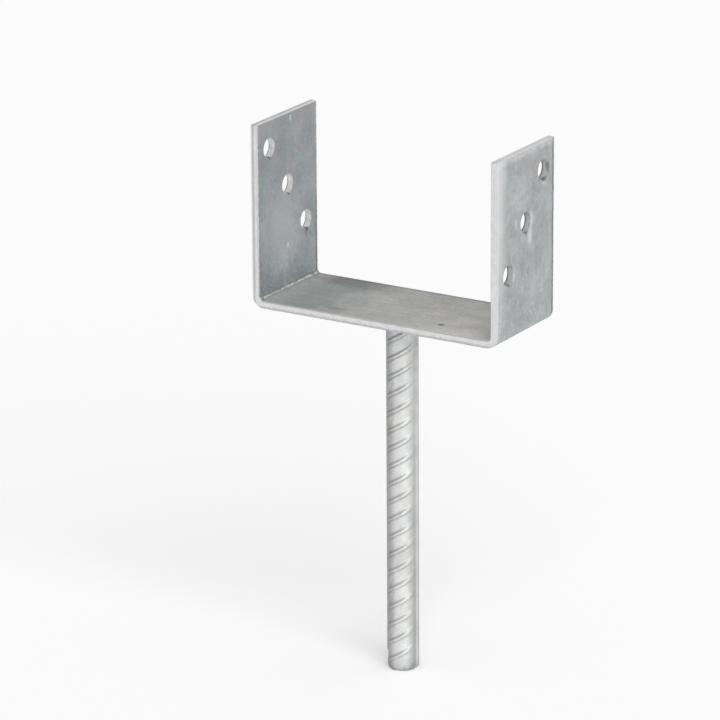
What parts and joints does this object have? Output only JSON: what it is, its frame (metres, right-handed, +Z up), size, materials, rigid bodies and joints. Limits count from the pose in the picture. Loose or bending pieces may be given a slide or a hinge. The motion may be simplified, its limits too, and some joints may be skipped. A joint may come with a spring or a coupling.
{
  "type": "timber post base",
  "caption": "U-shaped steel post base: a folded strip holds a square timber post between two drilled cheeks, on a ribbed dowel cast into concrete.",
  "frame": {"origin": "middle of the seat, the upper face of the base, on the dowel's axis", "axes": "+Z up, away from the concrete; X from cheek to cheek; Y along the width of the strip"},
  "size_m": [0.149, 0.06, 0.3],
  "materials": {
    "galvanised_strip": "hot-dip galvanised, satin to matt",
    "galvanised_bar": "hot-dip galvanised, satin",
    "galvanised_weld": "hot-dip galvanised over a weld, matt"
  },
  "bodies": {
    "root": {"u_bracket": "galvanised_strip", "ribbed_dowel": "galvanised_bar", "weld_bead": "galvanised_weld"}
  },
  "joints": []
}
